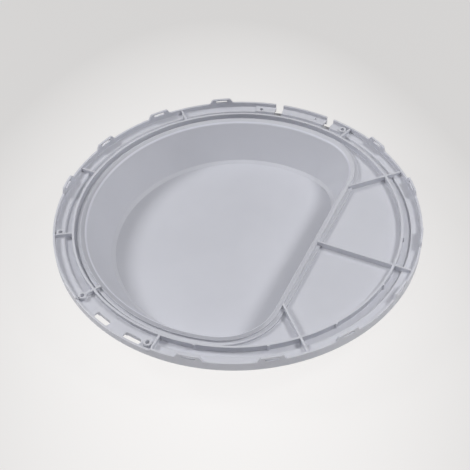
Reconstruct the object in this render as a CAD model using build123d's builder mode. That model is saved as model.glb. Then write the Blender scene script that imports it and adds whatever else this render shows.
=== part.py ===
# Inner door liner of a round tumble dryer door, moulded in one piece.
# It lies on the flat base of its bowl with the hollow side up, and z = 0 is under that base.
# +X points to the hinge side, -X to the latch side and -Y to the straight side of the bowl.

import os
from math import asin, cos, degrees, radians, sin, tan

from build123d import *

# Rim: an upright wall round the edge, with a shelf inside it that steps down to the plate
rim_radius = 200.0
rim_wall = 2.2
rim_level = 49.0
skirt_height = 10.6
shelf_depth = 5.7
shelf_width = 9.8
plate_depth = 8.2
floor_thickness = 2.2

# Bowl: round with one straight side that is steeper than the rest, and a flat base
bowl_inset = 34.4
straight_offset = 89.0
bowl_corner = 58.0
bowl_draft = 30.0
straight_draft = 12.0
bowl_wall = 2.4
base_bevel = 2.5

# Stepped lip round the bowl's mouth: a bead with a wider ledge below it
mouth_round = 6.0
mouth_steps = 4
bead_width = 5.2
bead_drop = 2.7
ledge_width = 8.9
ledge_drop = 5.3

# Ring rib round the bowl, with a small upright rib opposite each tab
ring_inset = 20.2
ring_width = 2.4
ring_drop = 1.2
ring_bump = 1.1

# Straight ribs that cross the plate or only the channel, besides the two at the ends of the latch
rib_thickness = 2.0
rib_drop = 1.2
plate_rib_angles = (-45.0, -90.0, -135.0)
channel_rib_angles = (-18.0, 45.0, 90.0, 121.8)

# Snap tabs on the rim wall, each with a window
tab_pitch = 23.0
tab_first = 30.5
tabs_above = 4
tabs_below = 7
tab_height = 5.8
tab_base = 28.0
tab_top = 23.5
tab_corner = 1.4
window_length = 13.5
window_height = 3.0
window_sill = 0.9

# Hinge side: a raised pad with two notches through the rim, a screw boss at one end and a pin hole
hinge_half_angle = 18.0
hinge_pad_rise = 1.4
notch_angle = 9.6
notch_width = 9.5
hinge_screw_angle = 16.0
hinge_pin_angle = -4.5
hinge_pin_inset = 6.0
hinge_pin_hole = 1.3

# Latch side: the channel is level with the shelf, with two slots and a lower rim wall
latch_start = 150.0
latch_end = 180.0
latch_wall_drop = 2.4
latch_slot_angles = (160.7, 172.7)
latch_slot_length = 20.0
latch_slot_width = 7.4
latch_slot_corner = 3.0
latch_screw_angles = (150.0, 178.0)

# Screw bosses
screw_inset = 8.0
boss_radius = 4.4
boss_drop = 1.5
screw_hole = 2.3
side_boss_angle = 120.8

# Levels and radii that follow from the sizes above
shelf_top = rim_level - shelf_depth
shelf_bottom = shelf_top - floor_thickness
plate_top = rim_level - plate_depth
plate_bottom = plate_top - floor_thickness
rim_bottom = rim_level - skirt_height
bead_top = rim_level - bead_drop
ledge_top = rim_level - ledge_drop
ring_top = rim_level - ring_drop
rib_top = rim_level - rib_drop
boss_top = rim_level - boss_drop
rim_inside = rim_radius - rim_wall
rim_middle = rim_radius - rim_wall / 2
shelf_inside = rim_inside - shelf_width
ring_outside = rim_radius - ring_inset
ring_inside = ring_outside - ring_width
ring_middle = (ring_outside + ring_inside) / 2
bowl_radius = rim_radius - bowl_inset
corner_sine = (straight_offset - bowl_corner) / (bowl_radius - bowl_corner)
corner_start = degrees(asin(corner_sine))
screw_radius = rim_radius - screw_inset
pin_radius = rim_radius - hinge_pin_inset
slot_radius = (shelf_inside + rim_inside) / 2
tab_angles = [tab_first + tab_pitch * i for i in range(tabs_above)]
tab_angles += [-tab_first - tab_pitch * i for i in range(tabs_below)]
along_radius = (Align.MIN, Align.CENTER, Align.MIN)


def polar(radius, angle):
    """Point on the XY plane at a radius and an angle in degrees."""
    return (radius * cos(radians(angle)), radius * sin(radians(angle)))


def outward(radius, angle, level):
    """Place on the rim with local x pointing outward."""
    return Location((*polar(radius, angle), level), (0, 0, angle))


def upright_plane(angle, radius, level):
    """Plane that faces outward from the rim, with x along the rim and y up."""
    return Plane(
        origin=(*polar(radius, angle), level),
        x_dir=(*polar(1, angle + 90), 0),
        z_dir=(*polar(1, angle), 0),
    )


def ring_sector(inner, outer, start, end):
    """Sketch of a flat ring's sector between two radii and two angles."""
    with BuildSketch() as sector:
        with BuildLine():
            CenterArc((0, 0), outer, start, end - start)
            CenterArc((0, 0), inner, start, end - start)
            Line(polar(inner, start), polar(outer, start))
            Line(polar(inner, end), polar(outer, end))
        make_face()
    return sector.sketch


def radius_at(level, growth):
    """Radius of the bowl at a level, with its wall moved outward."""
    lean = radians(bowl_draft)
    return bowl_radius - (bead_top - level) * tan(lean) + growth / cos(lean)


def straight_at(level, growth):
    """Distance of the bowl's straight side from the axis at a level, with its wall moved outward."""
    lean = radians(straight_draft)
    return straight_offset - (bead_top - level) * tan(lean) + growth / cos(lean)


def bowl_form(sections):
    """Solid bowl through pairs of a level and a growth: its round part, then its straight side and corners."""
    with BuildPart() as form:
        start_plane = Plane(
            origin=(0, 0, 0),
            x_dir=(*polar(1, -corner_start), 0),
            z_dir=(*polar(1, -corner_start - 90), 0),
        )
        with BuildSketch(start_plane):
            with BuildLine():
                wall_points = [(radius_at(level, growth), level) for level, growth in sections]
                Polyline((0, sections[0][0]), *wall_points, (0, sections[-1][0]), close=True)
            make_face()
        revolve(axis=Axis.Z, revolution_arc=180 + 2 * corner_start)
        for level, growth in sections:
            radius = radius_at(level, growth)
            straight = straight_at(level, growth)
            corner = (straight - radius * corner_sine) / (1 - corner_sine)
            x, y = polar(radius - corner, -corner_start)
            with BuildSketch(Plane.XY.offset(level)):
                with BuildLine():
                    Line((0, 0), polar(radius, -corner_start))
                    CenterArc((x, y), corner, -corner_start, corner_start - 90)
                    Line((x, -straight), (-x, -straight))
                    CenterArc((-x, y), corner, -90, corner_start - 90)
                    Line(polar(radius, 180 + corner_start), (0, 0))
                make_face()
        loft(ruled=True)
    return form.part


# Outline of the bowl's mouth: a circle with one straight side and large corners
with BuildSketch() as mouth:
    Circle(bowl_radius)
    with Locations((0, -straight_offset - bowl_radius)):
        Rectangle(2 * bowl_radius, 2 * bowl_radius, mode=Mode.SUBTRACT)
    fillet(mouth.vertices(), bowl_corner)

# Bowl with its stepped lip, whose inner edge is rounded in small steps
outer_sections = ((0, bowl_wall - base_bevel), (base_bevel, bowl_wall), (bead_top, bowl_wall))
inner_sections = [(bowl_wall, -base_bevel), (bowl_wall + base_bevel, 0)]
for step in range(mouth_steps + 1):
    turned = radians((90 - bowl_draft) * step / mouth_steps)
    drop = mouth_round * (1 - sin(turned + radians(bowl_draft)))
    inner_sections.append((bead_top - drop, mouth_round * (1 - cos(turned))))
with BuildPart() as bowl:
    for width, top in ((ledge_width, ledge_top), (bead_width, bead_top)):
        with BuildSketch(Plane.XY.offset(plate_bottom)):
            add(mouth.sketch)
            offset(amount=width)
        extrude(amount=top - plate_bottom)
    add(bowl_form(outer_sections))
    add(bowl_form(inner_sections), mode=Mode.SUBTRACT)

# Snap tabs: tapered tongues with a window, curved like the rim wall
tab_planes = [upright_plane(angle, rim_radius - 2 * rim_wall, rim_level) for angle in tab_angles]
with BuildPart() as snap_tabs:
    with BuildSketch(*tab_planes):
        with BuildLine():
            Polyline(
                (-tab_base / 2, -rim_wall),
                (-tab_base / 2, 0),
                (-tab_top / 2, tab_height - tab_corner),
                (-tab_top / 2 + tab_corner, tab_height),
                (tab_top / 2 - tab_corner, tab_height),
                (tab_top / 2, tab_height - tab_corner),
                (tab_base / 2, 0),
                (tab_base / 2, -rim_wall),
                close=True,
            )
        make_face()
        with Locations((0, window_sill + window_height / 2)):
            Rectangle(window_length, window_height, mode=Mode.SUBTRACT)
    extrude(amount=3 * rim_wall)
    with BuildSketch(Plane.XY.offset(rim_level - rim_wall)):
        Circle(rim_radius)
        Circle(rim_inside, mode=Mode.SUBTRACT)
    extrude(amount=tab_height + rim_wall, mode=Mode.INTERSECT)

with BuildPart() as door_liner:
    # Rim wall, shelf and plate
    with BuildSketch(Plane.XZ):
        with BuildLine():
            Polyline(
                (0, plate_bottom),
                (shelf_inside + floor_thickness, plate_bottom),
                (shelf_inside + floor_thickness, shelf_bottom),
                (rim_inside, shelf_bottom),
                (rim_inside, rim_bottom),
                (rim_radius, rim_bottom),
                (rim_radius, rim_level),
                (rim_inside, rim_level),
                (rim_inside, shelf_top),
                (shelf_inside, shelf_top),
                (shelf_inside, plate_top),
                (0, plate_top),
                close=True,
            )
        make_face()
    revolve(axis=Axis.Z)

    # The hinge pad on the shelf, and the channel that is raised to the shelf at the latch
    with BuildSketch(Plane.XY.offset(shelf_top)):
        add(ring_sector(shelf_inside, rim_middle, -hinge_half_angle, hinge_half_angle))
    extrude(amount=hinge_pad_rise)
    with BuildSketch(Plane.XY.offset(plate_top)):
        add(ring_sector(ring_middle, shelf_inside, latch_start, latch_end))
    extrude(amount=shelf_top - plate_top)

    # Ring rib
    with BuildSketch(Plane.XY.offset(plate_top)):
        Circle(ring_outside)
        with Locations(*[outward(ring_outside, angle, 0) for angle in tab_angles]):
            Rectangle(2 * ring_bump, 2 * ring_bump)
        Circle(ring_inside, mode=Mode.SUBTRACT)
    extrude(amount=ring_top - plate_top)

    # Straight ribs, on the plate and on the shelf
    plate_rib_base = plate_top - floor_thickness / 2
    shelf_rib_base = shelf_top - floor_thickness / 2
    for angle in (*plate_rib_angles, latch_start):
        with Locations(outward(0, angle, plate_rib_base)):
            Box(shelf_inside, rib_thickness, rib_top - plate_rib_base, align=along_radius)
    for angle in (*channel_rib_angles, latch_end):
        with Locations(outward(ring_middle, angle, plate_rib_base)):
            Box(shelf_inside - ring_middle, rib_thickness, rib_top - plate_rib_base, align=along_radius)
    for angle in (*plate_rib_angles, *channel_rib_angles, latch_start, latch_end):
        with Locations(outward(shelf_inside, angle, shelf_rib_base)):
            Box(rim_middle - shelf_inside, rib_thickness, rib_top - shelf_rib_base, align=along_radius)

    # The bowl takes the place of the plate and the ribs inside its bead
    with BuildSketch(Plane.XY.offset(plate_bottom)):
        add(mouth.sketch)
        offset(amount=bead_width)
    extrude(amount=rim_level - plate_bottom, mode=Mode.SUBTRACT)
    add(bowl.part)
    add(snap_tabs.part)

    # Screw bosses
    boss_angles = (*latch_screw_angles, side_boss_angle, -hinge_screw_angle)
    with BuildSketch(Plane.XY.offset(shelf_bottom)):
        with Locations(*[polar(screw_radius, angle) for angle in boss_angles]):
            Circle(boss_radius)
    extrude(amount=boss_top - shelf_bottom)

    # Screw holes and the pin hole
    with BuildSketch(Plane.XY.offset(rim_bottom)):
        with Locations(*[polar(screw_radius, angle) for angle in (*boss_angles, hinge_screw_angle)]):
            Circle(screw_hole)
        with Locations(polar(pin_radius, hinge_pin_angle)):
            Circle(hinge_pin_hole)
    extrude(amount=skirt_height, mode=Mode.SUBTRACT)

    # Hinge notches, open at the rim
    for angle in (-notch_angle, notch_angle):
        with Locations(outward(shelf_inside, angle, rim_bottom)):
            Box(2 * shelf_width, notch_width, skirt_height, align=along_radius, mode=Mode.SUBTRACT)

    # Latch slots, and the lower rim wall beside them
    with BuildSketch(Plane.XY.offset(rim_bottom)):
        with Locations(*[outward(slot_radius, angle, 0) for angle in latch_slot_angles]):
            RectangleRounded(latch_slot_width, latch_slot_length, latch_slot_corner)
    extrude(amount=skirt_height, mode=Mode.SUBTRACT)
    with BuildSketch(Plane.XY.offset(rim_level)):
        add(ring_sector(rim_inside - rim_wall, rim_radius + rim_wall, latch_start, latch_end))
    extrude(amount=-latch_wall_drop, mode=Mode.SUBTRACT)

os.makedirs("parts", exist_ok=True)
door_liner.part.label = "door_liner"
export_step(door_liner.part, "parts/door_liner.step")
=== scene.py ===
from math import cos, radians, sin, sqrt

import bpy
from mathutils import Matrix, Vector


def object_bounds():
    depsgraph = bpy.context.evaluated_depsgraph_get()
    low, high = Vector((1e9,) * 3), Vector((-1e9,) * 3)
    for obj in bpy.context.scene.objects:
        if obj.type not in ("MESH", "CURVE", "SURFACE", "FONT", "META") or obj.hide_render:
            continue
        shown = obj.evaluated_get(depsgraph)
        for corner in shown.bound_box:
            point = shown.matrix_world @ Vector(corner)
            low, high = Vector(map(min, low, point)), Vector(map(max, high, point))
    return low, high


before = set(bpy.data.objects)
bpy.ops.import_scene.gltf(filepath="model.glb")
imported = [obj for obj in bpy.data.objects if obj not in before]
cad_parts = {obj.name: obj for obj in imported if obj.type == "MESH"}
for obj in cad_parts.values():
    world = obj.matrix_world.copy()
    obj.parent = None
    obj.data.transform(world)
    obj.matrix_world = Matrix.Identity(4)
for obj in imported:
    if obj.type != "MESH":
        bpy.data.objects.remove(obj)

cad_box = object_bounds()
scene = bpy.context.scene
scene.view_settings.view_transform = "Standard"
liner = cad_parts["door_liner"]

# Sizes are in metres and angles in degrees, unless a name says otherwise

# Camera. The foot of the rim is given as the camera sees it: to the right, down and ahead
IMAGE_SIZE = 470
FOCAL_PIXELS = 950.0
SENSOR_MM = 36.0
LOOK_DOWN = 45.72
ROLL = -2.05
TURN = 63.5
RIM_FOOT_SEEN = Vector((0.0026, -0.0142, 1.043))
CLIP_START = 0.01

# Sizes of the part that the camera and the plastic follow
SKIRT_HEIGHT = 0.0106
TAB_HEIGHT = 0.0058
BOWL_RADIUS = 0.1656
BOWL_STRAIGHT = 0.089
BOWL_CORNER = 0.058
LIP_LEVEL = 0.0463

# Plastic: edges, painted paler as a highlight, and corners, painted darker as shade. A band is given by
# where it starts, is full, is last full and ends
EDGE_RADIUS = 0.0008
STEP_RADIUS = 0.003
STEP_BAND = (0.182, 0.185, 0.191, 0.194)
EDGE_SAMPLES = 10
EDGE_COSINES = (0.985, 0.80)
EDGE_HIGHLIGHT_AMOUNT = 0.35
CORNER_REACH = 0.005
CORNER_SAMPLES = 6
CORNER_SHADE_OPENNESS = (0.75, 0.25)
CORNER_SHADE_AMOUNT = 0.1

# Plastic: a band of painted shade and a crest of painted highlight along the lip of the bowl, by distance
# outward from the mouth and by height
LIP_SHADE_BAND = (0.0003, 0.0011, 0.0046, 0.0052)
LIP_SHADE_HEIGHTS = (LIP_LEVEL - 0.0024, LIP_LEVEL - 0.0018)
LIP_SHADE_ALONG_X = (0.17, -0.10)
LIP_SHADE_NEAR_STRAIGHT = 0.003
LIP_SHADE_LOSS_AT_STRAIGHT = 0.5
LIP_HIGHLIGHT_BAND = (-0.0017, -0.0009, 0.0, 0.0006)
LIP_HIGHLIGHT_HEIGHTS = (LIP_LEVEL - 0.0045, LIP_LEVEL - 0.0035)
LIP_HIGHLIGHT_AMOUNT = 0.9

# Plastic: noises, each by scale, detail and roughness, and the finish
CLOUDS = (9.0, 3.0, 0.55)
CLOUD_RANGE = (0.3, 0.7)
FLOW = (42.0, 4.0, 0.6)
LEAST_ROUGHNESS = 0.40
ADDED_ROUGHNESS = 0.12
GRAIN = (2600.0, 2.0, 0.5)
GRAIN_STRENGTH = 0.10
GRAIN_HEIGHT = 0.0002
PLASTIC_IOR = 1.49
SCATTER_WEIGHT = 0.6
SCATTER_COLOURS = (1.0, 1.0, 1.0)
SCATTER_REACH = 0.003

# Colours
TONE_DARK = (0.585, 0.592, 0.638, 1)
TONE_LIGHT = (0.610, 0.617, 0.663, 1)
# Painted highlight along edges
EDGE_HIGHLIGHT = (0.73, 0.74, 0.775, 1)
# Painted shade in corners
CORNER_SHADE = (0.40, 0.41, 0.455, 1)
# Painted shade in a band along the lip
LIP_SHADE = (0.415, 0.421, 0.463, 1)
# Painted highlight on the crest of the lip
LIP_HIGHLIGHT = (0.72, 0.73, 0.80, 1)
TABLE = (0.90, 0.89, 0.885, 1)
PALE = (1.0, 0.985, 0.975, 1)
ROOM = (0.84, 0.86, 1.0, 1)

# Floor and room. Where the floor is brightest and how far that reaches are in the frame of the photo
FLOOR_SIZE = 9.0
FLOOR_ROUGHNESS = 0.6
FLOOR_GLOW = 0.94
FLOOR_BRIGHT = 0.935
FLOOR_DULL = 0.67
FLOOR_BRIGHTEST = (-0.02, -0.10, 0.0)
FLOOR_REACH = (0.657, 1.09, 1.0)
ROOM_STRENGTH = 0.04

# Lights: direction in the frame of the photo, distance, width, height, watts and spread
LIGHTS = {
    "left_light": ((-0.74, 0.20, 0.63), 1.7, 0.4, 0.35, 14.4, 180.0),
    "right_light": ((0.66, 0.0, 0.75), 1.7, 0.4, 0.35, 12.5, 180.0),
    "front_light": ((0.05, -0.50, 0.866), 1.0, 0.5, 0.5, 2.5, 180.0),
    "card_light": ((0.0, -1.0, 0.032), 0.8, 1.2, 0.036, 0.06, 24.0),
}


def photo_frame(x, y, z):
    """Vector in the frame of the photo, where x is right and y is away, turned into the part's frame."""
    return Matrix.Rotation(radians(-TURN), 3, "Z") @ Vector((x, y, z))


class Nodes:
    """A node tree, with short calls to add and join its nodes."""

    def __init__(self, tree):
        self.tree = tree

    def fill(self, node, inputs):
        """Sets a node's inputs to constants, or joins them to the outputs of other nodes."""
        for key, value in inputs.items():
            if isinstance(value, bpy.types.NodeSocket):
                self.tree.links.new(value, node.inputs[key])
            else:
                node.inputs[key].default_value = value
        return node

    def fill_named(self, name, inputs):
        """Fills a node that the tree has from the start."""
        return self.fill(self.tree.nodes[name], inputs)

    def add(self, kind, inputs=None, **settings):
        """Adds a node with these settings and inputs."""
        node = self.tree.nodes.new(kind)
        for key, value in settings.items():
            setattr(node, key, value)
        return self.fill(node, inputs or {})

    def math(self, operation, *values):
        """Result of an operation on numbers."""
        return self.add("ShaderNodeMath", dict(enumerate(values)), operation=operation).outputs[0]

    def times(self, first, second):
        """Product of two numbers."""
        return self.math("MULTIPLY", first, second)

    def length(self, x, y):
        """Length of a level vector."""
        level = self.add("ShaderNodeCombineXYZ", {"X": x, "Y": y}).outputs["Vector"]
        return self.add("ShaderNodeVectorMath", {0: level}, operation="LENGTH").outputs["Value"]

    def dot(self, first, second):
        """Dot product of two vectors."""
        node = self.add("ShaderNodeVectorMath", {0: first, 1: second}, operation="DOT_PRODUCT")
        return node.outputs["Value"]

    def ramp(self, value, zero, one):
        """Value stretched so that two of its levels become 0 and 1, with smooth ends."""
        inputs = {"Value": value, "From Min": zero, "From Max": one}
        return self.add("ShaderNodeMapRange", inputs, interpolation_type="SMOOTHSTEP").outputs["Result"]

    def band(self, value, start, full, last, end):
        """1 where the value is from full to last, falling to 0 at start and end."""
        return self.times(self.ramp(value, start, full), self.ramp(value, end, last))

    def noise(self, place, scale, detail, roughness):
        """Noise in space."""
        inputs = {"Vector": place, "Scale": scale, "Detail": detail, "Roughness": roughness}
        return self.add("ShaderNodeTexNoise", inputs).outputs["Fac"]

    def colour(self, factor, first, second):
        """Colour between two colours."""
        return self.add("ShaderNodeMix", {0: factor, 6: first, 7: second}, data_type="RGBA").outputs[2]

    def shader(self, factor, first, second):
        """Shader between two shaders."""
        return self.add("ShaderNodeMixShader", {0: factor, 1: first, 2: second}).outputs[0]

    def seen(self):
        """1 for a ray that comes straight from the camera, off a gloss or through glass."""
        ray = self.add("ShaderNodeLightPath").outputs
        indirect = self.math("MAXIMUM", ray["Is Glossy Ray"], ray["Is Transmission Ray"])
        return self.math("MAXIMUM", ray["Is Camera Ray"], indirect)


def new_material(name):
    """A material with its default shader, and its nodes."""
    material = bpy.data.materials.new(name)
    material.use_nodes = True
    return material, Nodes(material.node_tree)


def mouth_distance(nodes, axes):
    """Distance outward from the bowl's mouth, a circle with one straight side and two rounded corners."""
    centre_y = BOWL_CORNER - BOWL_STRAIGHT
    centre_x = sqrt((BOWL_RADIUS - BOWL_CORNER) ** 2 - centre_y ** 2)
    to_round = nodes.math("SUBTRACT", nodes.length(axes["X"], axes["Y"]), BOWL_RADIUS)
    to_straight = nodes.math("SUBTRACT", nodes.times(axes["Y"], -1.0), BOWL_STRAIGHT)
    beside = nodes.math("SUBTRACT", nodes.math("ABSOLUTE", axes["X"]), centre_x)
    above = nodes.math("SUBTRACT", axes["Y"], centre_y)
    to_corner = nodes.math("SUBTRACT", nodes.length(beside, above), BOWL_CORNER)
    past_straight = nodes.math("GREATER_THAN", beside, 0.0)
    past_round = nodes.math("LESS_THAN", above, nodes.times(beside, centre_y / centre_x))
    in_corner = nodes.times(past_straight, past_round)
    to_side = nodes.math("MAXIMUM", to_round, to_straight)
    return nodes.add("ShaderNodeMix", {"Factor": in_corner, "A": to_side, "B": to_corner}).outputs["Result"]


def white_plastic():
    """Satin white plastic, faintly blue, with moulding grain and soft edges, and with painted light: a
    highlight on edges and on the lip's crest, shade in corners and in a band along the lip.
    """
    material, nodes = new_material("white_plastic")
    place = nodes.add("ShaderNodeTexCoord").outputs["Object"]
    axes = nodes.add("ShaderNodeSeparateXYZ", {0: place}).outputs

    # Slow changes of tone
    clouds = nodes.ramp(nodes.noise(place, *CLOUDS), *CLOUD_RANGE)
    tone = nodes.colour(clouds, TONE_DARK, TONE_LIGHT)

    # Soft edges, softest at the step in the rim's channel, painted slightly paler as a highlight
    on_step = nodes.band(nodes.length(axes["X"], axes["Y"]), *STEP_BAND)
    radius = nodes.math("MULTIPLY_ADD", on_step, STEP_RADIUS - EDGE_RADIUS, EDGE_RADIUS)
    soft_edge = nodes.add("ShaderNodeBevel", {"Radius": radius}, samples=EDGE_SAMPLES).outputs["Normal"]
    face = nodes.add("ShaderNodeNewGeometry").outputs["Normal"]
    edge = nodes.ramp(nodes.dot(soft_edge, face), *EDGE_COSINES)
    tone = nodes.colour(nodes.times(edge, EDGE_HIGHLIGHT_AMOUNT), tone, EDGE_HIGHLIGHT)

    # Painted shade: corners darker where they are enclosed
    reach = {"Distance": CORNER_REACH}
    hollow = nodes.add("ShaderNodeAmbientOcclusion", reach, samples=CORNER_SAMPLES, only_local=True)
    corner_shade = nodes.ramp(hollow.outputs["AO"], *CORNER_SHADE_OPENNESS)
    tone = nodes.colour(nodes.times(corner_shade, CORNER_SHADE_AMOUNT), tone, CORNER_SHADE)

    # Painted shade: a darker band along the lip, which fades towards the hinge and on the straight side.
    # Painted highlight: a paler crest
    from_mouth = mouth_distance(nodes, axes)
    lip_shade_band = nodes.times(nodes.band(from_mouth, *LIP_SHADE_BAND), nodes.ramp(axes["Z"], *LIP_SHADE_HEIGHTS))
    straight = nodes.ramp(axes["Y"], LIP_SHADE_NEAR_STRAIGHT - BOWL_STRAIGHT, -BOWL_STRAIGHT)
    left_at_straight = nodes.math("MULTIPLY_ADD", straight, -LIP_SHADE_LOSS_AT_STRAIGHT, 1.0)
    lip_shade_strength = nodes.times(nodes.ramp(axes["X"], *LIP_SHADE_ALONG_X), left_at_straight)
    tone = nodes.colour(nodes.times(lip_shade_band, lip_shade_strength), tone, LIP_SHADE)
    lip_highlight = nodes.times(nodes.band(from_mouth, *LIP_HIGHLIGHT_BAND), nodes.ramp(axes["Z"], *LIP_HIGHLIGHT_HEIGHTS))
    tone = nodes.colour(nodes.times(lip_highlight, LIP_HIGHLIGHT_AMOUNT), tone, LIP_HIGHLIGHT)

    # Uneven gloss, grain and slight scattering of light
    flow = nodes.noise(place, *FLOW)
    grain = nodes.add("ShaderNodeBump", {
        "Strength": GRAIN_STRENGTH,
        "Distance": GRAIN_HEIGHT,
        "Height": nodes.noise(place, *GRAIN),
        "Normal": soft_edge,
    })
    nodes.fill_named("Principled BSDF", {
        "Base Color": tone,
        "Roughness": nodes.math("MULTIPLY_ADD", flow, ADDED_ROUGHNESS, LEAST_ROUGHNESS),
        "Normal": grain.outputs["Normal"],
        "IOR": PLASTIC_IOR,
        "Subsurface Weight": SCATTER_WEIGHT,
        "Subsurface Radius": SCATTER_COLOURS,
        "Subsurface Scale": SCATTER_REACH,
    })
    return material


def pale_table():
    """Plain pale table top, seen brightest under the near half of the part and duller away from it."""
    material, nodes = new_material("pale_floor")
    around = nodes.add("ShaderNodeMapping", {
        "Vector": nodes.add("ShaderNodeTexCoord").outputs["Object"],
        "Location": photo_frame(*FLOOR_BRIGHTEST),
        "Rotation": (0, 0, radians(-TURN)),
        "Scale": FLOOR_REACH,
    }, vector_type="TEXTURE").outputs["Vector"]
    fading = nodes.math("SUBTRACT", FLOOR_BRIGHT, nodes.dot(around, around))
    bright = nodes.math("MAXIMUM", fading, FLOOR_DULL)
    glow = nodes.add("ShaderNodeEmission", {"Color": PALE, "Strength": bright})
    table = nodes.fill_named("Principled BSDF", {"Base Color": TABLE, "Roughness": FLOOR_ROUGHNESS})
    share = nodes.times(nodes.seen(), FLOOR_GLOW)
    nodes.fill_named("Material Output", {"Surface": nodes.shader(share, table.outputs[0], glow.outputs[0])})
    return material


def studio():
    """World that is dim as light, and a pale backdrop where it is seen."""
    world = bpy.data.worlds.new("studio")
    world.use_nodes = True
    nodes = Nodes(world.node_tree)
    dim = nodes.fill_named("Background", {"Color": ROOM, "Strength": ROOM_STRENGTH})
    backdrop = nodes.add("ShaderNodeBackground", {"Color": PALE, "Strength": FLOOR_DULL})
    room = nodes.shader(nodes.seen(), dim.outputs[0], backdrop.outputs[0])
    nodes.fill_named("World Output", {"Surface": room})
    return world


def soft_light(name, direction, distance, width, height, watts, spread):
    """Soft light that faces the part and that the camera doesn't see."""
    lamp = bpy.data.lights.new(name, "AREA")
    lamp.shape = "RECTANGLE"
    lamp.size = width
    lamp.size_y = height
    lamp.energy = watts
    lamp.spread = radians(spread)
    toward_lamp = photo_frame(*direction).normalized()
    lamp_object = bpy.data.objects.new(name, lamp)
    lamp_object.location = toward_lamp * distance
    lamp_object.rotation_euler = (-toward_lamp).to_track_quat("-Z", "Y").to_euler()
    lamp_object.visible_camera = False
    scene.collection.objects.link(lamp_object)


# Camera at the photo's viewing angle. Blender's camera looks along its -z, with y up
down = radians(LOOK_DOWN)
facing = Matrix(((1, 0, 0), (0, -sin(down), -cos(down)), (0, cos(down), -sin(down))))
to_view = Matrix.Rotation(radians(ROLL), 3, "Z") @ facing @ Matrix.Rotation(radians(TURN), 3, "Z")
rim_foot = Vector((0, 0, cad_box[1][2] - TAB_HEIGHT - SKIRT_HEIGHT))
flip = Matrix.Diagonal((1, -1, -1))
view_turn = (flip @ to_view).transposed()
view_place = rim_foot - to_view.transposed() @ RIM_FOOT_SEEN
camera = bpy.data.cameras.new("camera")
camera.sensor_width = SENSOR_MM
camera.lens = FOCAL_PIXELS / IMAGE_SIZE * SENSOR_MM
camera.clip_start = CLIP_START
camera_object = bpy.data.objects.new("camera", camera)
camera_object.matrix_world = Matrix.Translation(view_place) @ view_turn.to_4x4()
scene.collection.objects.link(camera_object)
scene.camera = camera_object

# The liner
liner.data.materials.clear()
liner.data.materials.append(white_plastic())

# Floor under the bowl's base
half = FLOOR_SIZE / 2
outline = ((-half, -half), (half, -half), (half, half), (-half, half))
table_top = bpy.data.meshes.new("floor")
table_top.from_pydata([(x, y, cad_box[0][2]) for x, y in outline], [], [(0, 1, 2, 3)])
table_top.materials.append(pale_table())
floor = bpy.data.objects.new("floor", table_top)
scene.collection.objects.link(floor)

# Light
for light_name, light_settings in LIGHTS.items():
    soft_light(light_name, *light_settings)
scene.world = studio()
